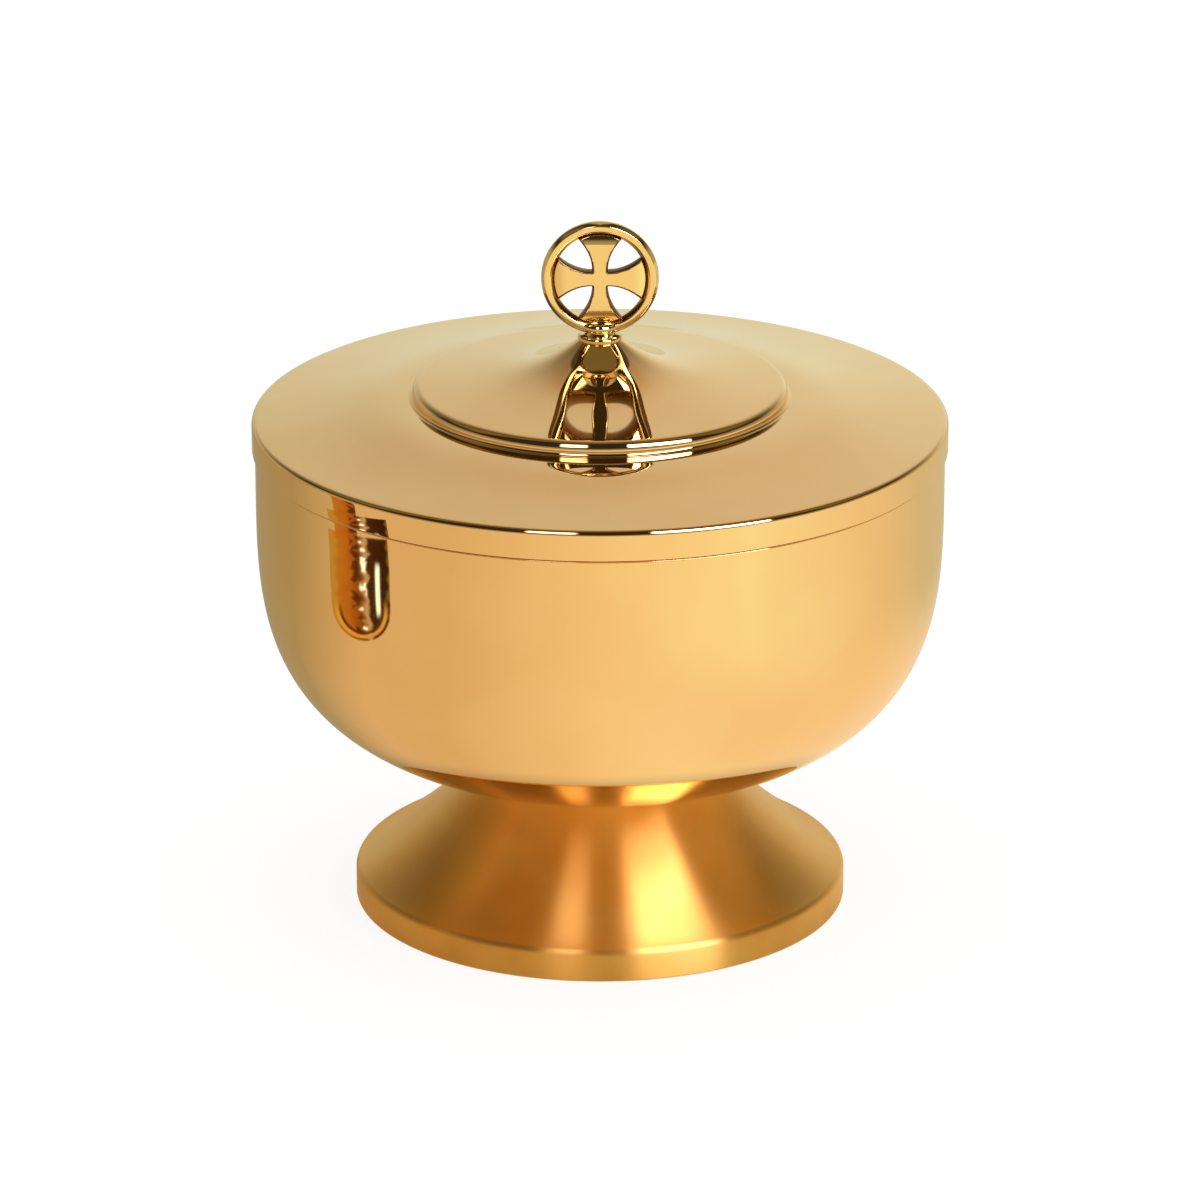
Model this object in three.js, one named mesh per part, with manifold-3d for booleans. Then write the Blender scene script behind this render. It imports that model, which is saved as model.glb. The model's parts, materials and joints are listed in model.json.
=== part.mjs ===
// A covered ciborium: a spun bowl on a flared foot, and a stepped lid with a ringed cross as its knob.
// Millimetres, +Z up. The origin is on the surface that the foot stands on, on the vessel's axis.
// The finial's ring lies in the XZ plane, so the front of the vessel faces -Y.
import * as THREE from "three";
import { mergeVertices } from "three/addons/utils/BufferGeometryUtils.js";
import Module from "manifold-3d";

// Driving dimensions of the foot
const FOOT_RADIUS = 50;
const FOOT_HEIGHT = 30;
const FOOT_SHEET = 1.2;
const FOOT_BAND_HEIGHT = 5.4;
const FOOT_EDGE_ROUND = 1.6;
const FOOT_BASE_ROUND = 0.5;
const FOOT_FLANGE_WIDTH = 4.5;
const NECK_RADIUS = 24;
const NECK_SLOPE_DEG = 65;
const NECK_HANDLE = 8;
const FLARE_SLOPE_DEG = 24;
const FLARE_HANDLE = 5;

// Driving dimensions of the bowl, whose curve is a quarter of a superellipse
const BOWL_RADIUS = 69.4;
const BOWL_SHEET = 1.2;
const BOWL_CURVE_DEPTH = 60.4;
const BOWL_SIDE_POWER = 2.73;
const BOWL_FLOOR_POWER = 3.38;
const BOWL_WALL_HEIGHT = 6.4;
const LIP_HEIGHT = 5.2;

// Driving dimensions of the lid
const LID_OVERHANG = 0.6;
const LID_SHEET = 0.9;
const LID_FOLD_ROUND = 1.1;
const BRIM_RISE = 4.11;
const BRIM_EDGE_SLOPE_DEG = 6;
const BRIM_EDGE_HANDLE_SHARE = 0.68;
const BRIM_FOOT_SLOPE_DEG = 2.8;
const BRIM_FOOT_HANDLE_SHARE = 0.32;
const STEP_RADIUS = 37.8;
const STEP_HEIGHT = 2.81;
const STEP_CROWN_ROUND = 1.8;
const STEP_HOLLOW_ROUND = 0.75;
const DISH_RISE = 9.12;
const DISH_EDGE_SLOPE_DEG = 5.7;
const DISH_EDGE_HANDLE_SHARE = 0.57;
const DISH_NECK_SLOPE_DEG = 37.4;
const DISH_NECK_HANDLE_SHARE = 0.325;
const APEX_RADIUS = 4.3;

// Driving dimensions of the finial
const RING_RADIUS = 11.75;
const RING_WIDTH = 2.4;
const RING_DEPTH = 3.2;
const RING_FACE_WIDTH = 1.2;
const RING_RIM_DEPTH = 0.6;
const RING_SEAT_HEIGHT = 1;
const CROSS_DEPTH = 3;
const CROSS_BEVEL = 0.5;
const CROSS_WAIST = 3.2;
const CROSS_END = 8.7;
const CROSS_FLARE_SHARE = 0.55;
const COLLAR_FLANGE_RADIUS = 4.5;
const COLLAR_FLANGE_HEIGHT = 1.3;
const COLLAR_GROOVE_RADIUS = 2.9;
const COLLAR_KNOB_RADIUS = 3.7;
const COLLAR_KNOB_HEIGHT = 3.3;

// Fasteners, whose tail is the length of thread that stands out of the nut
const LID_THREAD_RADIUS = 2;
const LID_NUT_FLATS = 7;
const LID_NUT_HEIGHT = 3.2;
const LID_WASHER_RADIUS = 4.4;
const LID_WASHER_HEIGHT = 0.8;
const LID_THREAD_TAIL = 1;
const FOOT_THREAD_RADIUS = 4;
const FOOT_NUT_FLATS = 13;
const FOOT_NUT_HEIGHT = 6.5;
const FOOT_WASHER_RADIUS = 12;
const FOOT_WASHER_HEIGHT = 2;
const FOOT_THREAD_TAIL = 3;
const THREAD_CHAMFER = 0.4;
const NUT_SIDES = 6;

// Inner plates of the foot joint
const BOSS_RADIUS = 14;
const BOSS_HEIGHT = 2.6;
const PLATE_HEIGHT = 2;

// Clearances
const REST_GAP = 0.3;
const SHOULDER_GAP = 0.35;
const SKIRT_CLEARANCE = 0.4;
const BRAZE_GAP = 0.1;
const THREAD_GAP = 0.15;

// How finely round shapes are divided
const TURNS_LARGE = 48;
const TURNS_MIDDLE = 24;
const TURNS_SMALL = 16;
const CURVE_STEPS = 12;
const LID_STEPS = 9;
const CORNER_STEPS = 3;
const ARM_STEPS = 6;
const BEVEL_STEPS = 2;
const WELD_DISTANCE = 1e-4;

// Finishes: polished gilt brass, satin gilt brass and bare brass for what is hidden
const POLISHED = { color: 0xe8b968, roughness: 0.12, metalness: 1 };
const SATIN = { color: 0xd9983f, roughness: 0.35, metalness: 1 };
const BARE_BRASS = { color: 0xb58a4a, roughness: 0.45, metalness: 1 };

const wasm = await Module();
wasm.setup();

const radians = THREE.MathUtils.degToRad;
const point = (r, z) => new THREE.Vector2(r, z);

// Points of a circular arc in the profile plane, both ends included.
function arc(centreR, centreZ, radius, fromDeg, toDeg, steps = CORNER_STEPS) {
  return Array.from({ length: steps + 1 }, (_, i) => {
    const angle = radians(fromDeg + ((toDeg - fromDeg) * i) / steps);
    return point(centreR + radius * Math.cos(angle), centreZ + radius * Math.sin(angle));
  });
}

// The same line moved sideways by a sheet's thickness, to the left of its own direction.
function offset(line, distance) {
  return line.map((p, i) => {
    const before = line[Math.max(i - 1, 0)];
    const after = line[Math.min(i + 1, line.length - 1)];
    const along = after.clone().sub(before).normalize();
    return point(p.x - along.y * distance, p.y + along.x * distance);
  });
}

// A curve that climbs inwards, from the steepness and the length of its handle at each end.
function climb(from, fromDeg, fromHandle, to, toDeg, toHandle, steps) {
  const handle = (deg, length) => point(-length * Math.cos(radians(deg)), length * Math.sin(radians(deg)));
  const leaving = from.clone().add(handle(fromDeg, fromHandle));
  const arriving = to.clone().sub(handle(toDeg, toHandle));
  return new THREE.CubicBezierCurve(from, leaving, arriving, to).getPoints(steps);
}

// The radius of a line at a given height, and its height at a given radius, between its own points.
function radiusAt(line, z) {
  const i = line.findIndex((p, n) => n > 0 && (p.y - z) * (line[n - 1].y - z) <= 0);
  const [a, b] = [line[i - 1], line[i]];
  return a.x + ((b.x - a.x) * (z - a.y)) / (b.y - a.y);
}

function heightAt(line, radius) {
  const i = line.findIndex((p, n) => n > 0 && (p.x - radius) * (line[n - 1].x - radius) <= 0);
  const [a, b] = [line[i - 1], line[i]];
  return a.y + ((b.y - a.y) * (radius - a.x)) / (b.x - a.x);
}

// A solid of revolution about Z. The profile runs anticlockwise, with the radius to the right and Z up.
function turned(profile, turns) {
  const onAxis = profile[0].x === 0;
  const closed = onAxis ? profile : [...profile, profile[0].clone()];
  return new THREE.LatheGeometry(closed, turns).rotateX(Math.PI / 2);
}

// A flat washer or boss with a central hole.
function disc(radius, holeRadius, bottomZ, height, turns) {
  const profile = [
    point(holeRadius, bottomZ),
    point(radius, bottomZ),
    point(radius, bottomZ + height),
    point(holeRadius, bottomZ + height),
  ];
  return turned(profile, turns);
}

function toSolid(geometry) {
  const bare = geometry.index ? geometry.clone() : mergeVertices(geometry);
  bare.deleteAttribute("normal");
  bare.deleteAttribute("uv");
  const merged = mergeVertices(bare, WELD_DISTANCE);
  return new wasm.Manifold(
    new wasm.Mesh({
      numProp: 3,
      vertProperties: merged.attributes.position.array,
      triVerts: new Uint32Array(merged.index.array),
    }),
  );
}

function toGeometry(solid) {
  const mesh = solid.getMesh();
  const geometry = new THREE.BufferGeometry();
  geometry.setAttribute("position", new THREE.BufferAttribute(mesh.vertProperties, 3));
  geometry.setIndex(new THREE.BufferAttribute(mesh.triVerts, 1));
  const faceted = geometry.toNonIndexed();
  faceted.computeVertexNormals();
  return faceted;
}

const ciborium = new THREE.Group();

function addPart(name, geometry, finish) {
  const part = new THREE.Mesh(geometry, new THREE.MeshStandardMaterial(finish));
  part.name = name;
  ciborium.add(part);
}

// Foot: a spun flare with a rounded edge, an upright band and a flange turned in at the base
const neckTop = point(NECK_RADIUS, FOOT_HEIGHT);
const edgeCentre = point(FOOT_RADIUS - FOOT_EDGE_ROUND, FOOT_BAND_HEIGHT);
const footEdge = arc(edgeCentre.x, edgeCentre.y, FOOT_EDGE_ROUND, 0, 90 - FLARE_SLOPE_DEG);
const flare = climb(
  footEdge.at(-1),
  FLARE_SLOPE_DEG,
  FLARE_HANDLE,
  neckTop,
  NECK_SLOPE_DEG,
  NECK_HANDLE,
  CURVE_STEPS,
);
const footOuter = [...footEdge, ...flare.slice(1)];
const footInner = offset(footOuter, FOOT_SHEET);

function addFoot() {
  const innerNeckRadius = footInner.at(-1).x;
  const flangeRadius = FOOT_RADIUS - FOOT_FLANGE_WIDTH;
  const profile = [
    point(flangeRadius, 0),
    ...arc(FOOT_RADIUS - FOOT_BASE_ROUND, FOOT_BASE_ROUND, FOOT_BASE_ROUND, -90, 0),
    ...footOuter,
    point(innerNeckRadius, FOOT_HEIGHT),
    ...footInner.slice(1, -1).reverse(),
    point(FOOT_RADIUS - FOOT_SHEET, FOOT_BAND_HEIGHT),
    point(FOOT_RADIUS - FOOT_SHEET, FOOT_SHEET),
    point(flangeRadius, FOOT_SHEET),
  ];
  addPart("foot_shell", turned(profile, TURNS_LARGE), SATIN);
}

// Bowl: a superellipse from a flat seat, as wide as the foot's neck, then an upright wall and a set-in lip
const seatZ = FOOT_HEIGHT + REST_GAP;
const curveHeight = (r) =>
  BOWL_CURVE_DEPTH * (1 - (r / BOWL_RADIUS) ** BOWL_SIDE_POWER) ** (1 / BOWL_FLOOR_POWER);
const bellyZ = seatZ + curveHeight(NECK_RADIUS);
const shoulderZ = bellyZ + BOWL_WALL_HEIGHT;
const rimZ = shoulderZ + LIP_HEIGHT;
const lidRadius = BOWL_RADIUS + LID_OVERHANG;
const lipRadius = lidRadius - LID_SHEET - SKIRT_CLEARANCE;

function bowlCurve() {
  const seatShare = (NECK_RADIUS / BOWL_RADIUS) ** (BOWL_SIDE_POWER / 2);
  const seatAngle = Math.acos(seatShare);
  return Array.from({ length: CURVE_STEPS + 1 }, (_, i) => {
    const angle = seatAngle * (1 - i / CURVE_STEPS);
    const r = BOWL_RADIUS * Math.cos(angle) ** (2 / BOWL_SIDE_POWER);
    return point(r, bellyZ - BOWL_CURVE_DEPTH * Math.sin(angle) ** (2 / BOWL_FLOOR_POWER));
  });
}

function addBowl() {
  const outer = bowlCurve();
  const floorZ = seatZ + BOWL_SHEET;
  const inner = offset(outer, BOWL_SHEET).slice(1, -1).filter((p) => p.y > floorZ);
  const innerRadius = BOWL_RADIUS - BOWL_SHEET;
  const profile = [
    point(0, seatZ),
    ...outer,
    point(BOWL_RADIUS, shoulderZ),
    point(lipRadius, shoulderZ),
    point(lipRadius, rimZ),
    point(lipRadius - BOWL_SHEET, rimZ),
    point(lipRadius - BOWL_SHEET, shoulderZ - BOWL_SHEET),
    point(innerRadius, shoulderZ - BOWL_SHEET),
    point(innerRadius, bellyZ),
    ...inner.reverse(),
    point(NECK_RADIUS, floorZ),
    point(0, floorZ),
  ];
  addPart("bowl_shell", turned(profile, TURNS_LARGE), POLISHED);
}

// A hexagon nut with its bore, made from an extruded outline
function nut(flats, holeRadius, bottomZ, height) {
  const corner = flats / 2 / Math.cos(Math.PI / NUT_SIDES);
  const outline = new THREE.Shape(
    Array.from({ length: NUT_SIDES }, (_, i) => {
      const angle = (2 * Math.PI * i) / NUT_SIDES;
      return point(corner * Math.cos(angle), corner * Math.sin(angle));
    }),
  );
  outline.holes.push(new THREE.Path().absarc(0, 0, holeRadius, 0, 2 * Math.PI, true));
  const nutShape = { depth: height, bevelEnabled: false, curveSegments: TURNS_SMALL };
  return new THREE.ExtrudeGeometry(outline, nutShape).translate(0, 0, bottomZ);
}

// Foot joint: a boss brazed under the bowl, a plate brazed in the neck, and a stud, washer and nut
const footHole = FOOT_THREAD_RADIUS + THREAD_GAP;
const bossBottomZ = seatZ - BRAZE_GAP - BOSS_HEIGHT;
const plateTopZ = bossBottomZ - BRAZE_GAP;
const plateBottomZ = plateTopZ - PLATE_HEIGHT;
const footWasherBottomZ = plateBottomZ - BRAZE_GAP - FOOT_WASHER_HEIGHT;
const footNutBottomZ = footWasherBottomZ - BRAZE_GAP - FOOT_NUT_HEIGHT;

// The plate's edge leans as the inside of the neck does.
function addFootPlate() {
  const profile = [
    point(footHole, plateBottomZ),
    point(radiusAt(footInner, plateBottomZ) - BRAZE_GAP, plateBottomZ),
    point(radiusAt(footInner, plateTopZ) - BRAZE_GAP, plateTopZ),
    point(footHole, plateTopZ),
  ];
  addPart("foot_plate", turned(profile, TURNS_LARGE), BARE_BRASS);
}

function addFootStud() {
  const bottomZ = footNutBottomZ - FOOT_THREAD_TAIL;
  const topZ = seatZ - 2 * BRAZE_GAP;
  const profile = [
    point(0, bottomZ),
    point(FOOT_THREAD_RADIUS - THREAD_CHAMFER, bottomZ),
    point(FOOT_THREAD_RADIUS, bottomZ + THREAD_CHAMFER),
    point(FOOT_THREAD_RADIUS, topZ - THREAD_CHAMFER),
    point(FOOT_THREAD_RADIUS - THREAD_CHAMFER, topZ),
    point(0, topZ),
  ];
  addPart("foot_stud", turned(profile, TURNS_SMALL), BARE_BRASS);
}

function addFootFastener() {
  const boss = disc(BOSS_RADIUS, footHole, bossBottomZ, BOSS_HEIGHT, TURNS_MIDDLE);
  const washer = disc(
    FOOT_WASHER_RADIUS,
    footHole,
    footWasherBottomZ,
    FOOT_WASHER_HEIGHT,
    TURNS_MIDDLE,
  );
  addPart("bowl_boss", boss, BARE_BRASS);
  addPart("foot_washer", washer, BARE_BRASS);
  addPart("foot_nut", nut(FOOT_NUT_FLATS, footHole, footNutBottomZ, FOOT_NUT_HEIGHT), BARE_BRASS);
}

// Lid: the fold's centre stands so that the sheet rests on the bowl's lip. The brim climbs in a shallow
// wave, steepest midway, to a low rounded step.
const foldCentre = point(lidRadius - LID_FOLD_ROUND, rimZ + REST_GAP + LID_SHEET - LID_FOLD_ROUND);
const foldArc = arc(foldCentre.x, foldCentre.y, LID_FOLD_ROUND, 0, 90 - BRIM_EDGE_SLOPE_DEG);
const brimFootZ = foldArc.at(-1).y + BRIM_RISE;
const hollowArc = arc(
  STEP_RADIUS + STEP_HOLLOW_ROUND,
  brimFootZ + STEP_HOLLOW_ROUND,
  STEP_HOLLOW_ROUND,
  270 - BRIM_FOOT_SLOPE_DEG,
  180,
);
const brimSpan = foldArc.at(-1).x - hollowArc[0].x;
const brim = climb(
  foldArc.at(-1),
  BRIM_EDGE_SLOPE_DEG,
  BRIM_EDGE_HANDLE_SHARE * brimSpan,
  hollowArc[0],
  BRIM_FOOT_SLOPE_DEG,
  BRIM_FOOT_HANDLE_SHARE * brimSpan,
  LID_STEPS,
);
const crownArc = arc(
  STEP_RADIUS - STEP_CROWN_ROUND,
  brimFootZ + STEP_HEIGHT - STEP_CROWN_ROUND,
  STEP_CROWN_ROUND,
  0,
  90 - DISH_EDGE_SLOPE_DEG,
);

// The dish rises gently from the step and steeply at the neck under the finial.
const apexZ = brimFootZ + STEP_HEIGHT + DISH_RISE;
const dishSpan = crownArc.at(-1).x - APEX_RADIUS;
const dish = climb(
  crownArc.at(-1),
  DISH_EDGE_SLOPE_DEG,
  DISH_EDGE_HANDLE_SHARE * dishSpan,
  point(APEX_RADIUS, apexZ),
  DISH_NECK_SLOPE_DEG,
  DISH_NECK_HANDLE_SHARE * dishSpan,
  LID_STEPS,
);
const lidOuter = [...foldArc, ...brim.slice(1, -1), ...hollowArc, ...crownArc, ...dish.slice(1)];
const lidOffset = offset(lidOuter, LID_SHEET);
const innerApexZ = apexZ - LID_SHEET;
const lidHole = LID_THREAD_RADIUS + THREAD_GAP;
const lidInner = [
  ...lidOffset.filter((p) => p.y < innerApexZ),
  point(radiusAt(lidOffset, innerApexZ), innerApexZ),
  point(lidHole, innerApexZ),
];
const skirtBottomZ = shoulderZ + SHOULDER_GAP;

function addLid() {
  const profile = [
    point(lidRadius - LID_SHEET, skirtBottomZ),
    point(lidRadius, skirtBottomZ),
    ...lidOuter,
    point(lidHole, apexZ),
    ...lidInner.toReversed(),
  ];
  addPart("lid_shell", turned(profile, TURNS_LARGE), POLISHED);
}

// Finial: a turned collar whose slot holds the ring, with its own threaded shank through the lid's apex
const collarBottom = apexZ + BRAZE_GAP;
const ringCentreZ = collarBottom + RING_SEAT_HEIGHT + RING_RADIUS;
const lidWasherBottomZ = heightAt(lidInner, LID_WASHER_RADIUS) - BRAZE_GAP - LID_WASHER_HEIGHT;
const lidNutBottomZ = lidWasherBottomZ - BRAZE_GAP - LID_NUT_HEIGHT;

function collarProfile() {
  const flangeRound = COLLAR_FLANGE_HEIGHT / 2;
  const flangeTopZ = collarBottom + COLLAR_FLANGE_HEIGHT;
  const flangeCentre = point(COLLAR_FLANGE_RADIUS - flangeRound, collarBottom + flangeRound);
  const knobHalf = COLLAR_KNOB_HEIGHT / 2;
  const grooveAngle = Math.acos(COLLAR_GROOVE_RADIUS / COLLAR_KNOB_RADIUS);
  const knob = Array.from({ length: CURVE_STEPS }, (_, i) => {
    const angle = ((Math.PI / 2 + grooveAngle) * i) / CURVE_STEPS - grooveAngle;
    const z = flangeTopZ + knobHalf * (1 + Math.sin(angle));
    return point(COLLAR_KNOB_RADIUS * Math.cos(angle), z);
  });
  const shankBottom = lidNutBottomZ - LID_THREAD_TAIL;
  return [
    point(0, shankBottom),
    point(LID_THREAD_RADIUS - THREAD_CHAMFER, shankBottom),
    point(LID_THREAD_RADIUS, shankBottom + THREAD_CHAMFER),
    point(LID_THREAD_RADIUS, collarBottom),
    ...arc(flangeCentre.x, flangeCentre.y, flangeRound, -90, 90, 2 * CORNER_STEPS),
    point(COLLAR_GROOVE_RADIUS, flangeTopZ),
    ...knob,
    point(0, flangeTopZ + COLLAR_KNOB_HEIGHT),
  ];
}

function addCollar() {
  const slotRadius = RING_RADIUS + BRAZE_GAP;
  const slotDepth = RING_DEPTH + 2 * BRAZE_GAP;
  const slot = new THREE.CylinderGeometry(slotRadius, slotRadius, slotDepth, TURNS_LARGE);
  slot.translate(0, 0, ringCentreZ);
  const collar = toSolid(turned(collarProfile(), TURNS_MIDDLE)).subtract(toSolid(slot));
  addPart("finial_collar", toGeometry(collar), POLISHED);
}

// The ring's section has narrow flat faces, a thin rim and broad slopes between, turned about the Y axis.
function addRing() {
  const middle = RING_RADIUS - RING_WIDTH / 2;
  const faceHalf = RING_FACE_WIDTH / 2;
  const rimHalf = RING_RIM_DEPTH / 2;
  const front = [
    point(RING_RADIUS, rimHalf),
    point(middle + faceHalf, RING_DEPTH / 2),
    point(middle - faceHalf, RING_DEPTH / 2),
    point(middle - RING_WIDTH / 2, rimHalf),
  ];
  const section = [...front, ...front.toReversed().map((p) => point(p.x, -p.y))];
  const ring = turned(section, TURNS_LARGE).rotateX(-Math.PI / 2).translate(0, 0, ringCentreZ);
  addPart("finial_ring", ring, POLISHED);
}

// One arm of the cross, from its crossing corner out along the flared side, round the end and back.
function armOutline(reach) {
  const waist = CROSS_WAIST / 2 - CROSS_BEVEL;
  const endHalf = CROSS_END / 2 - CROSS_BEVEL;
  const endDeg = THREE.MathUtils.radToDeg(Math.asin(endHalf / reach));
  const end = arc(0, 0, reach, 90 - endDeg, 90 + endDeg, ARM_STEPS);
  const corner = point(waist, waist);
  const bend = point(waist, CROSS_FLARE_SHARE * reach);
  const right = new THREE.QuadraticBezierCurve(corner, bend, end[0]).getPoints(ARM_STEPS);
  const left = right.slice(1).reverse().map((p) => point(-p.x, p.y));
  return [...right, ...end.slice(1, -1), ...left];
}

function addCross() {
  const reach = RING_RADIUS - RING_WIDTH - BRAZE_GAP - CROSS_BEVEL;
  const arm = armOutline(reach);
  const outline = [0, 1, 2, 3].flatMap((turn) =>
    arm.map((p) => p.clone().rotateAround(point(0, 0), (turn * Math.PI) / 2)),
  );
  const cross = new THREE.ExtrudeGeometry(new THREE.Shape(outline), {
    depth: CROSS_DEPTH - 2 * CROSS_BEVEL,
    bevelThickness: CROSS_BEVEL,
    bevelSize: CROSS_BEVEL,
    bevelSegments: BEVEL_STEPS,
  });
  cross.translate(0, 0, CROSS_BEVEL - CROSS_DEPTH / 2);
  cross.rotateX(Math.PI / 2).translate(0, 0, ringCentreZ);
  addPart("finial_cross", cross, POLISHED);
}

function addLidFastener() {
  const washer = disc(
    LID_WASHER_RADIUS,
    lidHole,
    lidWasherBottomZ,
    LID_WASHER_HEIGHT,
    TURNS_SMALL,
  );
  addPart("finial_washer", washer, BARE_BRASS);
  addPart("finial_nut", nut(LID_NUT_FLATS, lidHole, lidNutBottomZ, LID_NUT_HEIGHT), BARE_BRASS);
}

addFoot();
addFootPlate();
addFootStud();
addFootFastener();
addBowl();
addLid();
addCollar();
addRing();
addCross();
addLidFastener();

export default ciborium;
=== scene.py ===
import json
import math

import bmesh
import bpy
from mathutils import Matrix, Vector


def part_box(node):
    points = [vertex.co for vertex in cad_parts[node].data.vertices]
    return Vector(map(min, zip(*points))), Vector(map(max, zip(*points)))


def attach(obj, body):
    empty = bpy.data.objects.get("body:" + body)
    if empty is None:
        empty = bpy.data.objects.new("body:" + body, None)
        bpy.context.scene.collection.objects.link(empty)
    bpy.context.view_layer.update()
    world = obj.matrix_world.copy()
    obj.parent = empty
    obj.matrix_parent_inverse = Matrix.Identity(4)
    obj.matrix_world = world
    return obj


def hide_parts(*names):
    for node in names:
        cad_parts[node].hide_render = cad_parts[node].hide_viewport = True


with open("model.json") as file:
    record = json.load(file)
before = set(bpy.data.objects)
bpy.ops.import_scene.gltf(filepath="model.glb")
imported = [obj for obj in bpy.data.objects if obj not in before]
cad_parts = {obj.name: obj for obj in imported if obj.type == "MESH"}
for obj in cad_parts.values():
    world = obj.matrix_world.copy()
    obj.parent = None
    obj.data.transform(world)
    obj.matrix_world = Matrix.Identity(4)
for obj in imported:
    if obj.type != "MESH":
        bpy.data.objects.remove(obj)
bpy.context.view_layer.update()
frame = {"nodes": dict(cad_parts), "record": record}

# A covered ciborium of gilt brass on a pale studio floor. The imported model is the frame, and finely
# turned pieces stand for its nodes. Sizes are in millimetres and slopes in degrees, and the meshes are
# in metres.
MM = 0.001


def node_low(name):
    """The lowest corner of a node, in millimetres."""
    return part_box(name)[0] / MM


def node_high(name):
    """The highest corner of a node, in millimetres."""
    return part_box(name)[1] / MM


# Foot
FOOT_RADIUS = node_high("foot_shell").x
FOOT_HEIGHT = node_high("foot_shell").z
FOOT_SHEET = 1.2
FOOT_BAND_HEIGHT = 5.4
FOOT_EDGE_ROUND = 1.6
FOOT_BASE_ROUND = 0.5
FOOT_FLANGE_WIDTH = 4.5
NECK_RADIUS = 24
NECK_SLOPE = 65
NECK_HANDLE = 8
FLARE_SLOPE = 24
FLARE_HANDLE = 5

# Bowl
BOWL_RADIUS = node_high("bowl_shell").x
SEAT_HEIGHT = node_low("bowl_shell").z
RIM_HEIGHT = node_high("bowl_shell").z
BOWL_SHEET = 1.2
BOWL_CURVE_DEPTH = 60.4
BOWL_SIDE_POWER = 2.73
BOWL_FLOOR_POWER = 3.38
BOWL_STEP_POWER = 1.6
BOWL_INNER_START = 0.05
LIP_HEIGHT = 5.2
LIP_ROUND = 0.45
SHOULDER_ROUND = 0.3
LEDGE_HALF_HEIGHT = 0.3

# Lid
LID_RADIUS = node_high("lid_shell").x
SKIRT_BOTTOM = node_low("lid_shell").z
LID_SHEET = 0.9
LID_FOLD_ROUND = 1.1
BRIM_RISE = 4.11
BRIM_EDGE_SLOPE = 6
BRIM_EDGE_HANDLE_SHARE = 0.68
BRIM_FOOT_SLOPE = 2.8
BRIM_FOOT_HANDLE_SHARE = 0.32
STEP_RADIUS = 37.8
STEP_HEIGHT = 2.81
STEP_CROWN_ROUND = 1.8
STEP_HOLLOW_ROUND = 0.75
DISH_RISE = 9.12
DISH_EDGE_SLOPE = 5.7
DISH_EDGE_HANDLE_SHARE = 0.57
DISH_NECK_SLOPE = 37.4
DISH_NECK_HANDLE_SHARE = 0.325
APEX_RADIUS = 4.3
SKIRT_EDGE_ROUND = 0.12
LID_HOLE_RADIUS = 2.15

# Finial. The ring's outer slope is matt and painted dark as shade below a height, which is given from the
# ring's centre.
RING_RADIUS = node_high("finial_ring").x
RING_CENTRE = node_high("finial_ring").z - RING_RADIUS
RING_WIDTH = 2.4
RING_DEPTH = 3.2
RING_FACE_WIDTH = 1.2
RING_RIM_DEPTH = 0.6
RING_EDGE_ROUND = 0.2
RING_SHADED_TOP = -3
RING_SOLDER_REACH = 0.2
CROSS_DEPTH = 3
CROSS_EDGE_ROUND = 0.4
CROSS_END_ROUND = 0.12
CROSS_END_ROLL = 2.6
CROSS_END_FALL = 0.7
CROSS_WAIST = 3.2
CROSS_END = 8.7
CROSS_FLARE_SHARE = 0.55
CROSS_STEP_POWER = 1.5
CROSS_TIP_TOLERANCE = 0.1
COLLAR_FLANGE_RADIUS = 4.5
COLLAR_FLANGE_HEIGHT = 1.3
COLLAR_GROOVE_RADIUS = 2.9
COLLAR_GROOVE_ROUND = 0.25
COLLAR_KNOB_RADIUS = 3.7
COLLAR_KNOB_HEIGHT = 3.3
COLLAR_TOP = node_high("finial_collar").z
SHANK_RADIUS = 2
SLOT_CLEARANCE = 0.025

# Clearances
REST_GAP = 0.3
SKIRT_CLEARANCE = 0.4
BRAZE_GAP = 0.1

# How finely round shapes are divided
TURNS = 288
SMALL_TURNS = 128
CURVE_STEPS = 72
ARC_STEPS = 10
CORNER_STEPS = 6
ARM_STEPS = 36
ACROSS_STEPS = 14
SAME_POINT_DIGITS = 5

# Edges sharper than this many degrees stay crisp
SHARP_EDGE = 30
CROSS_SHARP_EDGE = 80

# Metals, as linear colours
GILT = (1, 0.72, 0.38)
SATIN_GILT = (0.97, 0.58, 0.165)
FINIAL_GILT = (1, 0.81, 0.41)
# Painted shade: a dark gilt colour for the cross's edges and the ring's lower outer slope
SHADED_GILT = (0.3, 0.18, 0.08)
BARE_BRASS = (0.62, 0.42, 0.16)

# Finishes. Deep is what the colour is multiplied by where clouds deepen it. A cloud is its size in
# millimetres and a contrast is the span of noise that it uses. Lines are in each millimetre, and a bump
# is its strength and its depth in millimetres. The rest are amounts of roughness.
CLOUD_DETAIL = 3
LINE_DETAIL = 4
LINE_FINENESS = 0.7
TINT_CLOUD = 18
TINT_CONTRAST = (0.3, 0.75)
BOWL_ROUGHNESS = 0.03
LID_ROUGHNESS = 0.02
FINIAL_ROUGHNESS = 0.05
POLISH_DEEP = (0.98, 0.95, 0.9)
POLISH_LINES = 1.5
POLISH_GRAIN = 0.015
POLISH_CLOUD = 30
POLISH_CONTRAST = (0.35, 0.7)
POLISH_HAZE = 0.01
POLISH_BUMP = (0.03, 0.01)
SATIN_DEEP = (0.95, 0.85, 0.7)
SATIN_ROUGHNESS = 0.33
SATIN_LINES = 6
SATIN_GRAIN = 0.08
SATIN_CLOUD = 12
SATIN_CONTRAST = (0.3, 0.8)
SATIN_WEAR = 0.03
SATIN_BUMP = (0.12, 0.02)
SATIN_BRUSH_TURN = 0.25
TARNISH_DEEP = (0.7, 0.62, 0.5)
WORN_CLOUD = 1.5
WORN_CONTRAST = (0.3, 0.7)
WORN_ROUGHNESS = (0.25, 0.4)
WORN_PITS = 0.3
WORN_BUMP = (0.2, 0.01)
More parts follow.
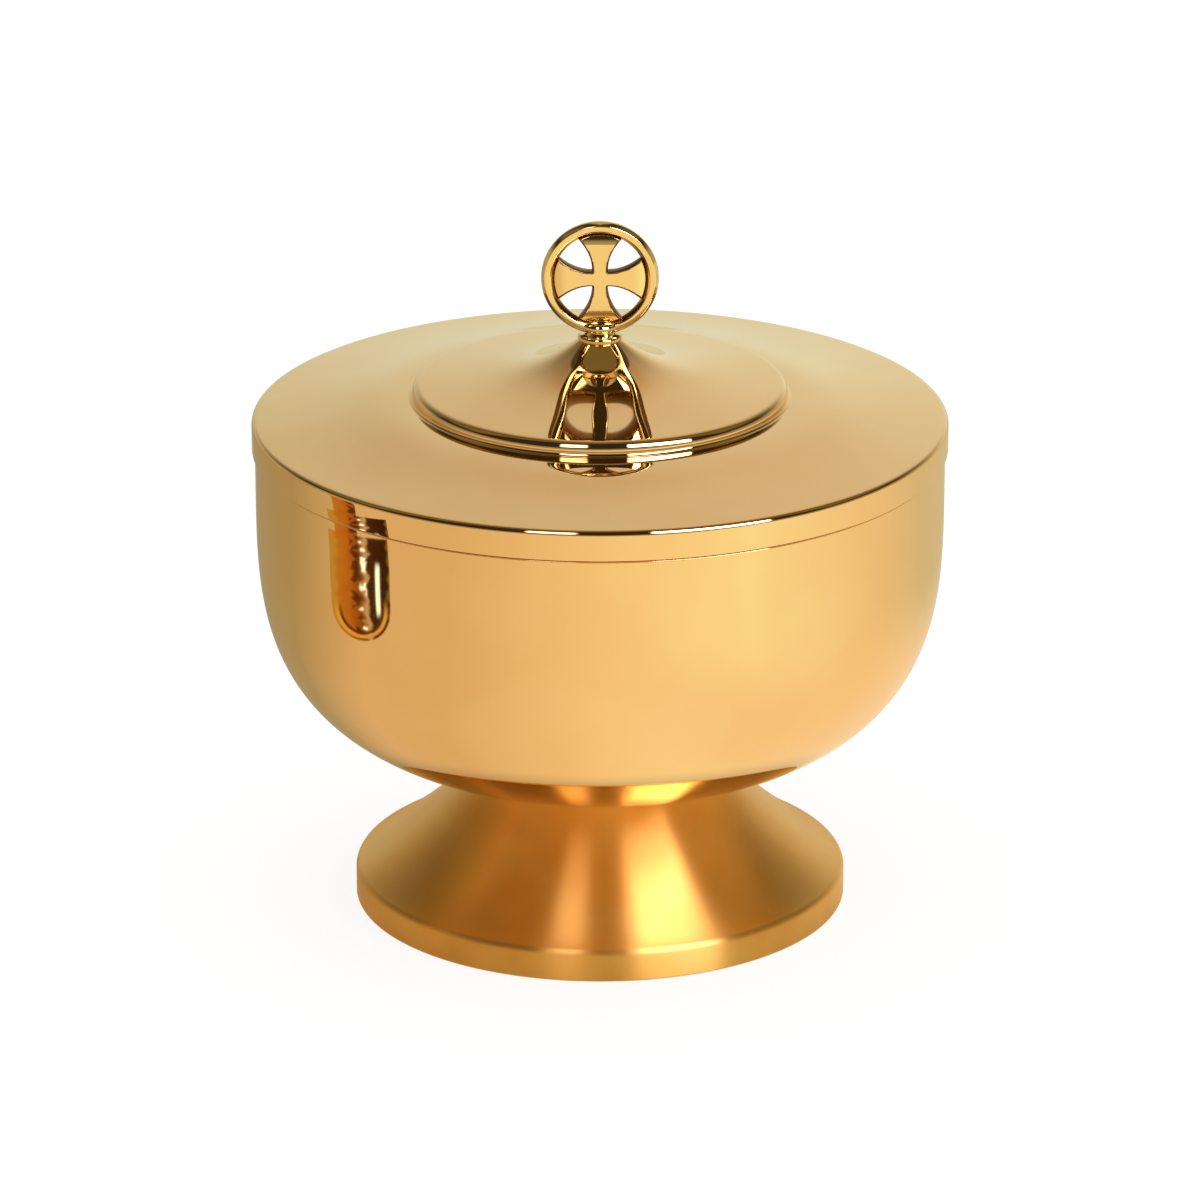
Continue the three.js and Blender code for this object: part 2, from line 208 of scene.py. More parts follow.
BRASS_LINES = 5
BRASS_GRAIN = 0.1
BRASS_CLOUD = 3
BRASS_CONTRAST = (0.4, 0.7)
BRASS_ROUGHNESS = (0.28, 0.45)
BRASS_BUMP = (0.3, 0.03)

# Camera, for a square picture. Its place and lens are in millimetres, and its nearest and farthest
# sight in metres.
CAMERA_DISTANCE = 1500
CAMERA_PITCH = math.radians(20.205)
CAMERA_AIM_HEIGHT = 62.813
CAMERA_LENS = 221.92
CAMERA_SENSOR = 36
CAMERA_SIGHT = (0.1, 20)


# Profiles, as lists of (radius, height)


def arc(centre, radius, start, end, steps=ARC_STEPS):
    """Points of a circular arc between two angles in degrees, both ends included."""
    angles = [math.radians(start + (end - start) * i / steps) for i in range(steps + 1)]
    return [(centre[0] + radius * math.cos(a), centre[1] + radius * math.sin(a)) for a in angles]


def offset(line, distance):
    """The same line moved sideways by a sheet's thickness, to the left of its own direction."""
    moved = []
    for i, (r, z) in enumerate(line):
        before, after = line[max(i - 1, 0)], line[min(i + 1, len(line) - 1)]
        along = Vector((after[0] - before[0], after[1] - before[1])).normalized()
        moved.append((r - along.y * distance, z + along.x * distance))
    return moved


def rounded(before, corner, after, radius, steps=CORNER_STEPS):
    """A corner between two straight lines, cut back by radius along each and rounded."""
    centre = Vector(corner)
    start = centre + (Vector(before) - centre).normalized() * radius
    end = centre + (Vector(after) - centre).normalized() * radius
    shares = [i / steps for i in range(steps + 1)]
    return [tuple(start * (1 - s) ** 2 + centre * 2 * s * (1 - s) + end * s**2) for s in shares]


def climb(start, start_slope, start_handle, end, end_slope, end_handle, steps=CURVE_STEPS):
    """A curve that climbs inwards, from the slope and the length of its handle at each end."""
    handles = [
        length * Vector((-math.cos(math.radians(slope)), math.sin(math.radians(slope))))
        for slope, length in ((start_slope, start_handle), (end_slope, end_handle))
    ]
    a, d = Vector(start), Vector(end)
    b, c = a + handles[0], d - handles[1]
    shares = [i / steps for i in range(steps + 1)]
    return [
        tuple(a * (1 - s) ** 3 + b * 3 * s * (1 - s) ** 2 + c * 3 * s**2 * (1 - s) + d * s**3)
        for s in shares
    ]


def foot_profile():
    """The foot's upright band, its flare up to the neck and the flange turned in under it."""
    edge_centre = (FOOT_RADIUS - FOOT_EDGE_ROUND, FOOT_BAND_HEIGHT)
    edge = arc(edge_centre, FOOT_EDGE_ROUND, 0, 90 - FLARE_SLOPE)
    neck = (NECK_RADIUS, FOOT_HEIGHT)
    flare = climb(edge[-1], FLARE_SLOPE, FLARE_HANDLE, neck, NECK_SLOPE, NECK_HANDLE)
    outer = edge + flare[1:]
    inner = offset(outer, FOOT_SHEET)
    flange = FOOT_RADIUS - FOOT_FLANGE_WIDTH
    wall = FOOT_RADIUS - FOOT_SHEET
    base_centre = (FOOT_RADIUS - FOOT_BASE_ROUND, FOOT_BASE_ROUND)
    return [
        (flange, 0),
        *arc(base_centre, FOOT_BASE_ROUND, -90, 0),
        *outer,
        (inner[-1][0], FOOT_HEIGHT),
        *inner[1:-1][::-1],
        (wall, FOOT_BAND_HEIGHT),
        *rounded((wall, FOOT_BAND_HEIGHT), (wall, FOOT_SHEET), (flange, FOOT_SHEET), FOOT_BASE_ROUND),
        (flange, FOOT_SHEET),
    ]


def bowl_profile():
    """The bowl: a flat seat, a curve that steepens to an upright side, and a lip stepped in at its top."""
    seat_angle = math.acos((NECK_RADIUS / BOWL_RADIUS) ** (BOWL_SIDE_POWER / 2))
    seat_depth = BOWL_CURVE_DEPTH * math.sin(seat_angle) ** (2 / BOWL_FLOOR_POWER)
    belly = SEAT_HEIGHT + seat_depth
    outer = []
    for i in range(CURVE_STEPS + 1):
        angle = seat_angle * (1 - i / CURVE_STEPS) ** BOWL_STEP_POWER
        depth = BOWL_CURVE_DEPTH * math.sin(angle) ** (2 / BOWL_FLOOR_POWER)
        outer.append((BOWL_RADIUS * math.cos(angle) ** (2 / BOWL_SIDE_POWER), belly - depth))
    floor = SEAT_HEIGHT + BOWL_SHEET
    inner = [p for p in offset(outer, BOWL_SHEET)[1:-1] if p[1] > floor + BOWL_INNER_START]
    inner_wall = BOWL_RADIUS - BOWL_SHEET
    shoulder = RIM_HEIGHT - LIP_HEIGHT
    lip = LID_RADIUS - LID_SHEET - SKIRT_CLEARANCE
    lip_inside = lip - BOWL_SHEET
    ledge = shoulder - BOWL_SHEET
    return [
        (0, SEAT_HEIGHT),
        *outer,
        *rounded((BOWL_RADIUS, belly), (BOWL_RADIUS, shoulder), (lip, shoulder), SHOULDER_ROUND),
        (lip, shoulder),
        *rounded((lip, shoulder), (lip, RIM_HEIGHT), (lip_inside, RIM_HEIGHT), LIP_ROUND),
        *rounded((lip, RIM_HEIGHT), (lip_inside, RIM_HEIGHT), (lip_inside, ledge), LIP_ROUND),
        (lip_inside, ledge + LEDGE_HALF_HEIGHT),
        (inner_wall, ledge - LEDGE_HALF_HEIGHT),
        (inner_wall, belly),
        *inner[::-1],
        (NECK_RADIUS, floor),
        (0, floor),
    ]


def lid_profile():
    """The lid: skirt, fold, sloping brim, step and a dish that rises to the hole under the finial."""
    fold_centre = (LID_RADIUS - LID_FOLD_ROUND, RIM_HEIGHT + REST_GAP + LID_SHEET - LID_FOLD_ROUND)
    fold = arc(fold_centre, LID_FOLD_ROUND, 0, 90 - BRIM_EDGE_SLOPE)
    brim_foot = fold[-1][1] + BRIM_RISE
    hollow_centre = (STEP_RADIUS + STEP_HOLLOW_ROUND, brim_foot + STEP_HOLLOW_ROUND)
    hollow = arc(hollow_centre, STEP_HOLLOW_ROUND, 270 - BRIM_FOOT_SLOPE, 180)
    span = fold[-1][0] - hollow[0][0]
    brim = climb(
        fold[-1], BRIM_EDGE_SLOPE, BRIM_EDGE_HANDLE_SHARE * span,
        hollow[0], BRIM_FOOT_SLOPE, BRIM_FOOT_HANDLE_SHARE * span,
    )
    crown_centre = (STEP_RADIUS - STEP_CROWN_ROUND, brim_foot + STEP_HEIGHT - STEP_CROWN_ROUND)
    crown = arc(crown_centre, STEP_CROWN_ROUND, 0, 90 - DISH_EDGE_SLOPE)
    apex = brim_foot + STEP_HEIGHT + DISH_RISE
    span = crown[-1][0] - APEX_RADIUS
    dish = climb(
        crown[-1], DISH_EDGE_SLOPE, DISH_EDGE_HANDLE_SHARE * span,
        (APEX_RADIUS, apex), DISH_NECK_SLOPE, DISH_NECK_HANDLE_SHARE * span,
    )
    outer = fold + brim[1:-1] + hollow + crown + dish[1:]
    inner = [p for p in offset(outer, LID_SHEET) if p[1] < apex - LID_SHEET]
    skirt_inside = LID_RADIUS - LID_SHEET
    top = (LID_RADIUS, fold_centre[1])
    inside_top = (skirt_inside, fold_centre[1])
    outer_corner = (LID_RADIUS, SKIRT_BOTTOM)
    inner_corner = (skirt_inside, SKIRT_BOTTOM)
    return [
        *rounded(inside_top, inner_corner, outer_corner, SKIRT_EDGE_ROUND),
        *rounded(inner_corner, outer_corner, top, SKIRT_EDGE_ROUND),
        *outer,
        (LID_HOLE_RADIUS, apex),
        (LID_HOLE_RADIUS, apex - LID_SHEET),
        *inner[::-1],
    ]


def collar_profile():
    """The finial's collar: a knob on a round-edged flange, with a shank below it."""
    bottom = COLLAR_TOP - COLLAR_KNOB_HEIGHT - COLLAR_FLANGE_HEIGHT
    flange_round = COLLAR_FLANGE_HEIGHT / 2
    flange_top = bottom + COLLAR_FLANGE_HEIGHT
    flange_centre = (COLLAR_FLANGE_RADIUS - flange_round, bottom + flange_round)
    groove_angle = math.degrees(math.acos(COLLAR_GROOVE_RADIUS / COLLAR_KNOB_RADIUS))
    knob_half = COLLAR_KNOB_HEIGHT / 2
    knob = [
        (COLLAR_KNOB_RADIUS * r, flange_top + knob_half * (1 + z))
        for r, z in arc((0, 0), 1, -groove_angle, 90, 3 * ARC_STEPS)[:-1]
    ]
    return [
        (0, node_low("finial_collar").z),
        (SHANK_RADIUS, node_low("finial_collar").z),
        (SHANK_RADIUS, bottom),
        *arc(flange_centre, flange_round, -90, 90, 2 * ARC_STEPS),
        (COLLAR_GROOVE_RADIUS + COLLAR_GROOVE_ROUND, flange_top),
        *knob,
        (0, COLLAR_TOP),
    ]


def ring_profile():
    """The ring's section: narrow faces, a thin rim and broad slopes between, with rounded edges.

    Solder makes its inner rim reach over the seam to the cross.
    """
    middle = RING_RADIUS - RING_WIDTH / 2
    wide, deep = RING_WIDTH / 2, RING_DEPTH / 2
    face, rim = RING_FACE_WIDTH / 2, RING_RIM_DEPTH / 2
    soldered = wide + RING_SOLDER_REACH
    front = [(wide, rim), (face, deep), (-face, deep), (-soldered, rim)]
    corners = front + [(across, -depth) for across, depth in reversed(front)]
    section = []
    for i, corner in enumerate(corners):
        section += rounded(corners[i - 1], corner, corners[(i + 1) % len(corners)], RING_EDGE_ROUND)
    return [(middle + across, depth) for across, depth in section]


# Meshes


def add_object(name, data):
    """A new object in the scene."""
    added = bpy.data.objects.new(name, data)
    bpy.context.scene.collection.objects.link(added)
    return added


def new_piece(name, vertices, faces, sharp=SHARP_EDGE):
    """An object made from points in millimetres, smooth but for edges sharper than an angle in degrees."""
    mesh = bpy.data.meshes.new(name)
    mesh.from_pydata([Vector(v) * MM for v in vertices], [], faces)
    mesh.validate()
    shape = bmesh.new()
    shape.from_mesh(mesh)
    loose = [v for v in shape.verts if not v.link_faces]
    bmesh.ops.delete(shape, geom=loose, context="VERTS")
    shape.to_mesh(mesh)
    shape.free()
    mesh.shade_smooth()
    mesh.set_sharp_from_angle(angle=math.radians(sharp))
    return add_object(name, mesh)


def turned(name, profile, turns=TURNS, frame_turn=Matrix()):
    """A solid of revolution about Z. The profile runs anticlockwise, with the radius to the right."""
    vertices, rings = [], []
    for r, z in profile:
        if r == 0:
            rings.append([len(vertices)] * turns)
            vertices.append((0, 0, z))
            continue
        rings.append(range(len(vertices), len(vertices) + turns))
        for i in range(turns):
            angle = 2 * math.pi * i / turns
            vertices.append((r * math.cos(angle), r * math.sin(angle), z))
    closed = profile[0][0] > 0
    pairs = list(zip(rings, rings[1:] + rings[:1])) if closed else list(zip(rings, rings[1:]))
    faces = []
    for low, high in pairs:
        for i in range(turns):
            j = (i + 1) % turns
            corners = [low[i], low[j], high[j], high[i]]
            faces.append(list(dict.fromkeys(corners)))
    faces = [f for f in faces if len(f) > 2]
    return new_piece(name, [frame_turn @ Vector(v) for v in vertices], faces)


def cut(piece, cutter):
    """Takes the cutter's solid out of the piece, and removes the cutter."""
    step = piece.modifiers.new("cut", "BOOLEAN")
    step.operation = "DIFFERENCE"
    step.object = cutter
    bpy.context.view_layer.update()
    shaped = piece.evaluated_get(bpy.context.evaluated_depsgraph_get())
    piece.data = bpy.data.meshes.new_from_object(shaped)
    piece.modifiers.clear()
    bpy.data.objects.remove(cutter)


def arm_side(reach):
    """The flared side of an upright arm, from the crossing's corner to the arm's end."""
    waist = CROSS_WAIST / 2
    corner = Vector((waist, waist))
    bend = Vector((waist, CROSS_FLARE_SHARE * reach))
    tip = Vector((CROSS_END / 2, math.sqrt(reach**2 - (CROSS_END / 2) ** 2)))
    shares = [1 - (1 - i / ARM_STEPS) ** CROSS_STEP_POWER for i in range(ARM_STEPS + 1)]
    return [corner * (1 - s) ** 2 + bend * 2 * s * (1 - s) + tip * s**2 for s in shares]


def cross_sheet(reach):
    """Points over the cross's front, closer together near its edges, and the four-sided faces between."""
    across = [math.sin(math.pi / 2 * i / ACROSS_STEPS) for i in range(-ACROSS_STEPS, ACROSS_STEPS + 1)]
    side = arm_side(reach)
    bulge = reach - side[-1].y
    arm = []
    for i, point in enumerate(side):
        end_share = (i / ARM_STEPS) ** 2
        row = [Vector((point.x * t, point.y + bulge * end_share * (1 - t * t))) for t in across]
        arm.append(row)
    waist = CROSS_WAIST / 2
    grids = [[[Vector((waist * t, waist * u)) for t in across] for u in across]]
    for quarter in range(4):
        turn = Matrix.Rotation(quarter * math.pi / 2, 2)
        grids.append([[turn @ p for p in row] for row in arm])
    numbers, points, faces = {}, [], []
    for grid in grids:
        table = []
        for row in grid:
            keys = [(round(p.x, SAME_POINT_DIGITS), round(p.y, SAME_POINT_DIGITS)) for p in row]
            for key, p in zip(keys, row):
                if key not in numbers:
                    numbers[key] = len(points)
                    points.append(p)
            table.append([numbers[key] for key in keys])
        for low, high in zip(table, table[1:]):
            for i in range(len(low) - 1):
                faces.append((low[i], low[i + 1], high[i + 1], high[i]))
    return points, faces


def edge_share(point, edges):
    """How far a point is from the nearest straight edge, as a share of that edge's rounding."""
    nearest = 1
    for start, along, length, rounding in edges:
        share = min(max((point - start).dot(along), 0), length)
        nearest = min(nearest, (point - start - along * share).length / rounding)
    return nearest


def cross_mesh(name):
    """The cross in the XZ plane, and 1 for each face on its edges. The ends of its arms roll back."""
    reach = RING_RADIUS - RING_WIDTH - BRAZE_GAP
    points, faces = cross_sheet(reach)
    uses = {}
    for face in faces:
        for start, end in zip(face, face[1:] + face[:1]):
            uses.setdefault(frozenset((start, end)), []).append((start, end))
    rim = [edge[0] for edge in uses.values() if len(edge) == 1]
    edges = []
    for start, end in rim:
        step = points[end] - points[start]
        at_end = min(points[start].length, points[end].length) > reach - CROSS_TIP_TOLERANCE
        rounding = CROSS_END_ROUND if at_end else CROSS_EDGE_ROUND
        edges.append((points[start], step.normalized(), step.length, rounding))
    shares = [edge_share(point, edges) for point in points]
    fronts = []
    for point, share in zip(points, shares):
        along = max(abs(point.x), abs(point.y))
        roll = max(1 - (reach - along) / CROSS_END_ROLL, 0)
        depth = CROSS_DEPTH / 2 - CROSS_END_FALL * roll**2
        fronts.append(depth * math.sqrt(share * (2 - share)))
    front = [(p.x, -depth, RING_CENTRE + p.y) for p, depth in zip(points, fronts)]
    back = [(p.x, depth, RING_CENTRE + p.y) for p, depth in zip(points, fronts)]
    count = len(points)
    on_rim = {number for edge in rim for number in edge}
    backs = [tuple(i if i in on_rim else i + count for i in reversed(face)) for face in faces]
    # 1 for faces on the edges, which get the gilt painted dark as shade
    shaded_edge_faces = [int(min(shares[i] for i in face) < 1) for face in faces]
    return new_piece(name, front + back, faces + backs, CROSS_SHARP_EDGE), shaded_edge_faces + shaded_edge_faces


# Materials


class Nodes:
    """Short forms for building a node tree."""

    # Which sockets of a mix node are its two colours, the mixed colour, and its two numbers
    COLOURS = (6, 7)
    MIXED_COLOUR = 2
    NUMBERS = (2, 3)

    def __init__(self, tree):
        self.tree = tree
        tree.nodes.clear()

    def add(self, kind, inputs=(), **settings):
        """A node with its settings, and its inputs by name or number, as values or as sockets."""
        node = self.tree.nodes.new(kind)
        for key, value in settings.items():
            setattr(node, key, value)
        for key, value in dict(inputs).items():
            self.put(node.inputs[key], value)
        return node

    def put(self, socket, value):
        """Gives a socket its value, or joins the socket that the value comes from."""
        if isinstance(value, bpy.types.NodeSocket):
            self.tree.links.new(value, socket)
        else:
            socket.default_value = value

    def end(self, kind, shader):
        """Joins a shader to the tree's end, which is a material's or a world's output."""
        output = self.add(kind)
        self.tree.links.new(shader.outputs[0], output.inputs["Surface"])

    def math(self, operation, *values):
        return self.add("ShaderNodeMath", enumerate(values), operation=operation).outputs[0]

    def less(self, value, taken):
        """A number with another one taken from it."""
        return self.math("SUBTRACT", value, taken)

    def product(self, *values):
        """The product of numbers."""
        result = values[0]
        for value in values[1:]:
            result = self.math("MULTIPLY", result, value)
        return result

    def total(self, *values):
        """The sum of numbers."""
        result = values[0]
        for value in values[1:]:
            result = self.math("ADD", result, value)
        return result

    def size(self, value):
        """A number without its sign."""
        return self.math("ABSOLUTE", value)

    def distance(self, first, second):
        """How far a place is from the origin, from its two coordinates."""
        return self.math("SQRT", self.total(self.product(first, first), self.product(second, second)))

    def degrees(self, angle):
        """An angle in degrees."""
        return self.product(angle, 180 / math.pi)

    def smooth(self, value, low, high, start=0.0, end=1.0):
        """A smooth step of value from low to high, giving start to end."""
        inputs = {"Value": value, "From Min": low, "From Max": high, "To Min": start, "To Max": end}
        step = self.add("ShaderNodeMapRange", inputs, interpolation_type="SMOOTHSTEP")
        return step.outputs["Result"]

    def band(self, value, low, high, soft):
        """1 between low and high with soft edges, and 0 outside."""
        rise = self.smooth(value, low - soft, low + soft)
        return self.product(rise, self.smooth(value, high - soft, high + soft, 1.0, 0.0))

    def mix(self, share, first, second):
        """A colour between two others."""
        inputs = {"Factor": share, self.COLOURS[0]: first, self.COLOURS[1]: second}
        return self.add("ShaderNodeMix", inputs, data_type="RGBA").outputs[self.MIXED_COLOUR]

    def mix_numbers(self, share, first, second):
        """A number between two others."""
        inputs = {"Factor": share, self.NUMBERS[0]: first, self.NUMBERS[1]: second}
        return self.add("ShaderNodeMix", inputs, data_type="FLOAT").outputs[0]

    def ramp(self, share, stops):
        """The colour at a share of the way along stops. They lie between 0 and 1, which are taken out."""
        node = self.add("ShaderNodeValToRGB", {"Fac": share})
        elements = node.color_ramp.elements
        for place, tone in stops:
            elements.new(place).color = (*tone, 1)
        elements.remove(elements[0])
        elements.remove(elements[-1])
        return node.outputs["Color"]


def new_material(name):
    """A material and the short forms for its nodes."""
    material = bpy.data.materials.new(name)
    material.use_nodes = True
    return material, Nodes(material.node_tree)


class Metal:
    """A metal with slight clouds in its colour, and what its finish is made of."""

    def __init__(self, name, colour, deep):
        self.material, self.nodes = new_material(name)
        self.shader = self.nodes.add("ShaderNodeBsdfPrincipled")
        spot = self.nodes.add("ShaderNodeTexCoord").outputs["Object"]
        in_mm = {0: spot, "Scale": 1 / MM}
        self.place = self.nodes.add("ShaderNodeVectorMath", in_mm, operation="SCALE").outputs[0]
        deep_colour = [part * share for part, share in zip(colour, deep)]
        tint = self.clouds(TINT_CLOUD, TINT_CONTRAST)
        self.put("Base Color", self.nodes.mix(tint, (*deep_colour, 1), (*colour, 1)))
        self.put("Metallic", 1)
        self.nodes.end("ShaderNodeOutputMaterial", self.shader)

    def put(self, name, value):
        """Gives the shader one of its inputs."""
        self.nodes.put(self.shader.inputs[name], value)

    def noise(self, size):
        """Soft noise with features of about size millimetres."""
        inputs = {"Vector": self.place, "Scale": 1 / size, "Detail": CLOUD_DETAIL}
        return self.nodes.add("ShaderNodeTexNoise", inputs).outputs["Fac"]

    def clouds(self, size, contrast, start=0.0, end=1.0):
        """Clouds of about size millimetres that go from start to end."""
        return self.nodes.smooth(self.noise(size), *contrast, start, end)

    def lines(self, per_mm):
        """Fine rings left by turning: noise that changes with radius and height but not round the axis."""
        x, y, height = self.nodes.add("ShaderNodeSeparateXYZ", {0: self.place}).outputs
        radius = self.nodes.distance(x, y)
        along = self.nodes.add("ShaderNodeCombineXYZ", {0: radius, 1: height}).outputs[0]
        inputs = {"Vector": along, "Scale": per_mm, "Detail": LINE_DETAIL, "Roughness": LINE_FINENESS}
        return self.nodes.add("ShaderNodeTexNoise", inputs).outputs["Fac"]

    def bump(self, height, strength, depth):
        """Small relief, with its depth in millimetres."""
        inputs = {"Height": height, "Strength": strength, "Distance": depth * MM}
        self.put("Normal", self.nodes.add("ShaderNodeBump", inputs).outputs[0])


def polished_gilt(name, roughness, colour=GILT):
    """Polished gilt, with a little haze and faint spinning rings."""
    metal = Metal(name, colour, POLISH_DEEP)
    lines = metal.lines(POLISH_LINES)
    haze = metal.clouds(POLISH_CLOUD, POLISH_CONTRAST, 0.0, POLISH_HAZE)
    grain = metal.nodes.product(lines, POLISH_GRAIN)
    metal.put("Roughness", metal.nodes.total(haze, grain, roughness))
    metal.bump(lines, *POLISH_BUMP)
    return metal.material


def satin_gilt(name):
    """Satin gilt, brushed round the axis, so that lights spread into stripes down the flare."""
    metal = Metal(name, SATIN_GILT, SATIN_DEEP)
    lines = metal.lines(SATIN_LINES)
    grain = metal.nodes.product(lines, SATIN_GRAIN)
    wear = metal.clouds(SATIN_CLOUD, SATIN_CONTRAST, -SATIN_WEAR, SATIN_WEAR)
    metal.put("Roughness", metal.nodes.total(SATIN_ROUGHNESS, grain, wear))
    metal.put("Anisotropic", 1)
    metal.put("Anisotropic Rotation", SATIN_BRUSH_TURN)
    tangent = metal.nodes.add("ShaderNodeTangent", direction_type="RADIAL", axis="Z")
    metal.put("Tangent", tangent.outputs[0])
    metal.bump(lines, *SATIN_BUMP)
    return metal.material


def dull_shaded_gilt(name):
    """Matt gilt, painted dark as shade, for the cross's sawn edges and the lower part of the ring's outer
    slope.
    """
    metal = Metal(name, SHADED_GILT, TARNISH_DEEP)
    metal.put("Roughness", metal.clouds(WORN_CLOUD, WORN_CONTRAST, *WORN_ROUGHNESS))
    metal.bump(metal.noise(WORN_PITS), *WORN_BUMP)
    return metal.material


def bare_brass(name):
    """Turned brass with tool rings and a little tarnish."""
    metal = Metal(name, BARE_BRASS, TARNISH_DEEP)
    lines = metal.lines(BRASS_LINES)
    tarnish = metal.clouds(BRASS_CLOUD, BRASS_CONTRAST, *BRASS_ROUGHNESS)
    metal.put("Roughness", metal.nodes.total(tarnish, metal.nodes.product(lines, BRASS_GRAIN)))
    metal.bump(lines, *BRASS_BUMP)
    return metal.material


# Pieces


def finish(piece, material, slot, body, *nodes):
    """Gives a piece its material and its body, and hides the nodes that it stands for. Its slot is not
    used.
    """
    piece.data.materials.clear()
    piece.data.materials.append(material)
    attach(piece, body)
    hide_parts(*nodes)


def add_vessel():
    bowl = turned("bowl", bowl_profile())
    finish(bowl, polished_gilt("bowl_gilt", BOWL_ROUGHNESS), "polished_gilt", "vessel", "bowl_shell")
    foot = turned("foot", foot_profile())
    finish(foot, satin_gilt("foot_gilt"), "satin_gilt", "vessel", "foot_shell")


def add_lid():
    lid = turned("lid", lid_profile())
    finish(lid, polished_gilt("lid_gilt", LID_ROUGHNESS), "polished_gilt", "lid", "lid_shell")


def add_collar(material, upright):
    """The finial's collar, with a slot that takes the ring."""
    collar = turned("collar", collar_profile(), SMALL_TURNS)
    slot_radius = RING_RADIUS + BRAZE_GAP
    slot_half = RING_DEPTH / 2 + SLOT_CLEARANCE
    slot_profile = [(0, -slot_half), (slot_radius, -slot_half), (slot_radius, slot_half), (0, slot_half)]
    cut(collar, turned("slot", slot_profile, TURNS, upright))
    finish(collar, material, "polished_gilt", "lid", "finial_collar")


def add_ring(material, dull_shaded, upright):
    """The finial's ring. The lower part of its outer slope is matt and painted dark as shade."""
    ring = turned("ring", ring_profile(), TURNS, upright)
    finish(ring, material, "polished_gilt", "lid", "finial_ring")
    ring.data.materials.append(dull_shaded)
    face_end = RING_RADIUS - RING_WIDTH / 2 + RING_FACE_WIDTH / 2 + RING_EDGE_ROUND / 2
    for face in ring.data.polygons:
        across = face.center.x / MM
        up = face.center.z / MM - RING_CENTRE
        face.material_index = int(up < RING_SHADED_TOP and math.hypot(across, up) > face_end)


def add_cross(material, dull_shaded):
    """The cross in the ring. Its edges are matt and painted dark as shade."""
    cross, shaded_edge_faces = cross_mesh("cross")
    finish(cross, material, "polished_gilt", "lid", "finial_cross")
    cross.data.materials.append(dull_shaded)
    cross.data.polygons.foreach_set("material_index", shaded_edge_faces)


def add_finial():
    material = polished_gilt("finial_gilt", FINIAL_ROUGHNESS, FINIAL_GILT)
    dull_shaded = dull_shaded_gilt("dull_shaded_gilt")
    upright = Matrix.Translation((0, 0, RING_CENTRE)) @ Matrix.Rotation(math.pi / 2, 4, "X")
    add_collar(material, upright)
    add_ring(material, dull_shaded, upright)
    add_cross(material, dull_shaded)


def dress_fasteners():
    """Turned brass on the seven hidden pieces, which keep their own shapes."""
    material = bare_brass("turned_brass")
    for subpart in frame["record"]["subparts"]:
        if subpart["material_slot"] == "bare_brass":
            mesh = frame["nodes"][subpart["node"]].data
            mesh.materials.clear()
            mesh.materials.append(material)


# Studio

# The surroundings that shiny surfaces see. Bearings and heights are angles in degrees. The other spans
# are of a direction of length 1: its way to the right, back or up, or its lean, which is its way back less
# a share of its way to either side. Each span is where something starts and where it is complete.
WALL_BEARINGS = (128, 176)
WALL_WIDTH = (0.07, 0.79)
WALL_TOP = (0.33, 0.37)
WALL_TILT = 0.6
WALL_TONE_HEIGHTS = (2, 34)
WALL_LOW = (0.71, 0.75, 0.64, 1)
WALL_HIGH = (0.62, 0.545, 0.43, 1)
WALL_UPPER = (0.475, 0.34, 0.19, 1)
UPPER_START = (0.5, 0.7)
UPPER_TONE_START = (0.55, 0.8)
CEILING_START = (0.45, 0.6)
CEILING_FRONT = (-0.12, 0)
CEILING_EDGE = (0.22, 0.27)
CEILING_TONE = (0.145, 0.105, 0.03, 1)
EDGE_LEAN = 0.3

# The two lamps in front. A lamp is its left and right ends, as bearings round a point near the back of the
# surroundings, and the softness of its edges.
LAMP_START = 0.94
RIGHT_LAMP = (8.7, 28.7, 0.6)
LEFT_LAMP = (-12, -4, 0.6)
LAMP_HEIGHTS = (32, 66, 5)
LAMP_LIGHTS = (9, 3.3)
LAMP_TONE = (1, 0.9, 1, 1)

# Dim light: all over, at the sides, and low down all round
ROOM_TONE = (1, 0.8, 0.5, 1)
ROOM_LIGHT = 0.03
SIDE_LIGHT = 0.1
SIDE_START = (0.2, 0.7)
SIDE_LEAN = (0.18, 0.34)
AROUND_HEIGHTS = (8, 24)
AROUND_LIGHT = 0.35

# A painted reflection of a gilt cup, on a glowing card that only shiny surfaces see
# The amber card beside the vessel, in millimetres: its place to the left, its middle and its lower end
CARD_PLACE = -125
CARD_MIDDLE = -55
CARD_HALF = 25
CARD_BEND = 48
CARD_DEPTH = 13
CARD_SHOULDER = 71.5
CARD_TOP = 92
CARD_TOP_HALF = 19
CARD_ARC_STEPS = 32

# Its painted reflection tones from its front edge at 0 to its back edge at 1, and its pattern. A band is
# its two ends and the softness of its edges, from -1 at the front edge to 1 at the back edge.
CARD_REFLECTION_TONES = [
    (0.01, (0.19, 0.118, 0.0263)),
    (0.05, (0.038, 0.0126, 0.0021)),
    (0.34, (0.0665, 0.0237, 0.00316)),
    (0.4, (0.475, 0.276, 0.0631)),
    (0.5, (0.285, 0.0948, 0.0105)),
    (0.66, (0.475, 0.15, 0.0158)),
    (0.84, (0.5, 0.2, 0.021)),
    (0.92, (0.52, 0.29, 0.05)),
    (0.99, (0.5, 0.3, 0.06)),
]
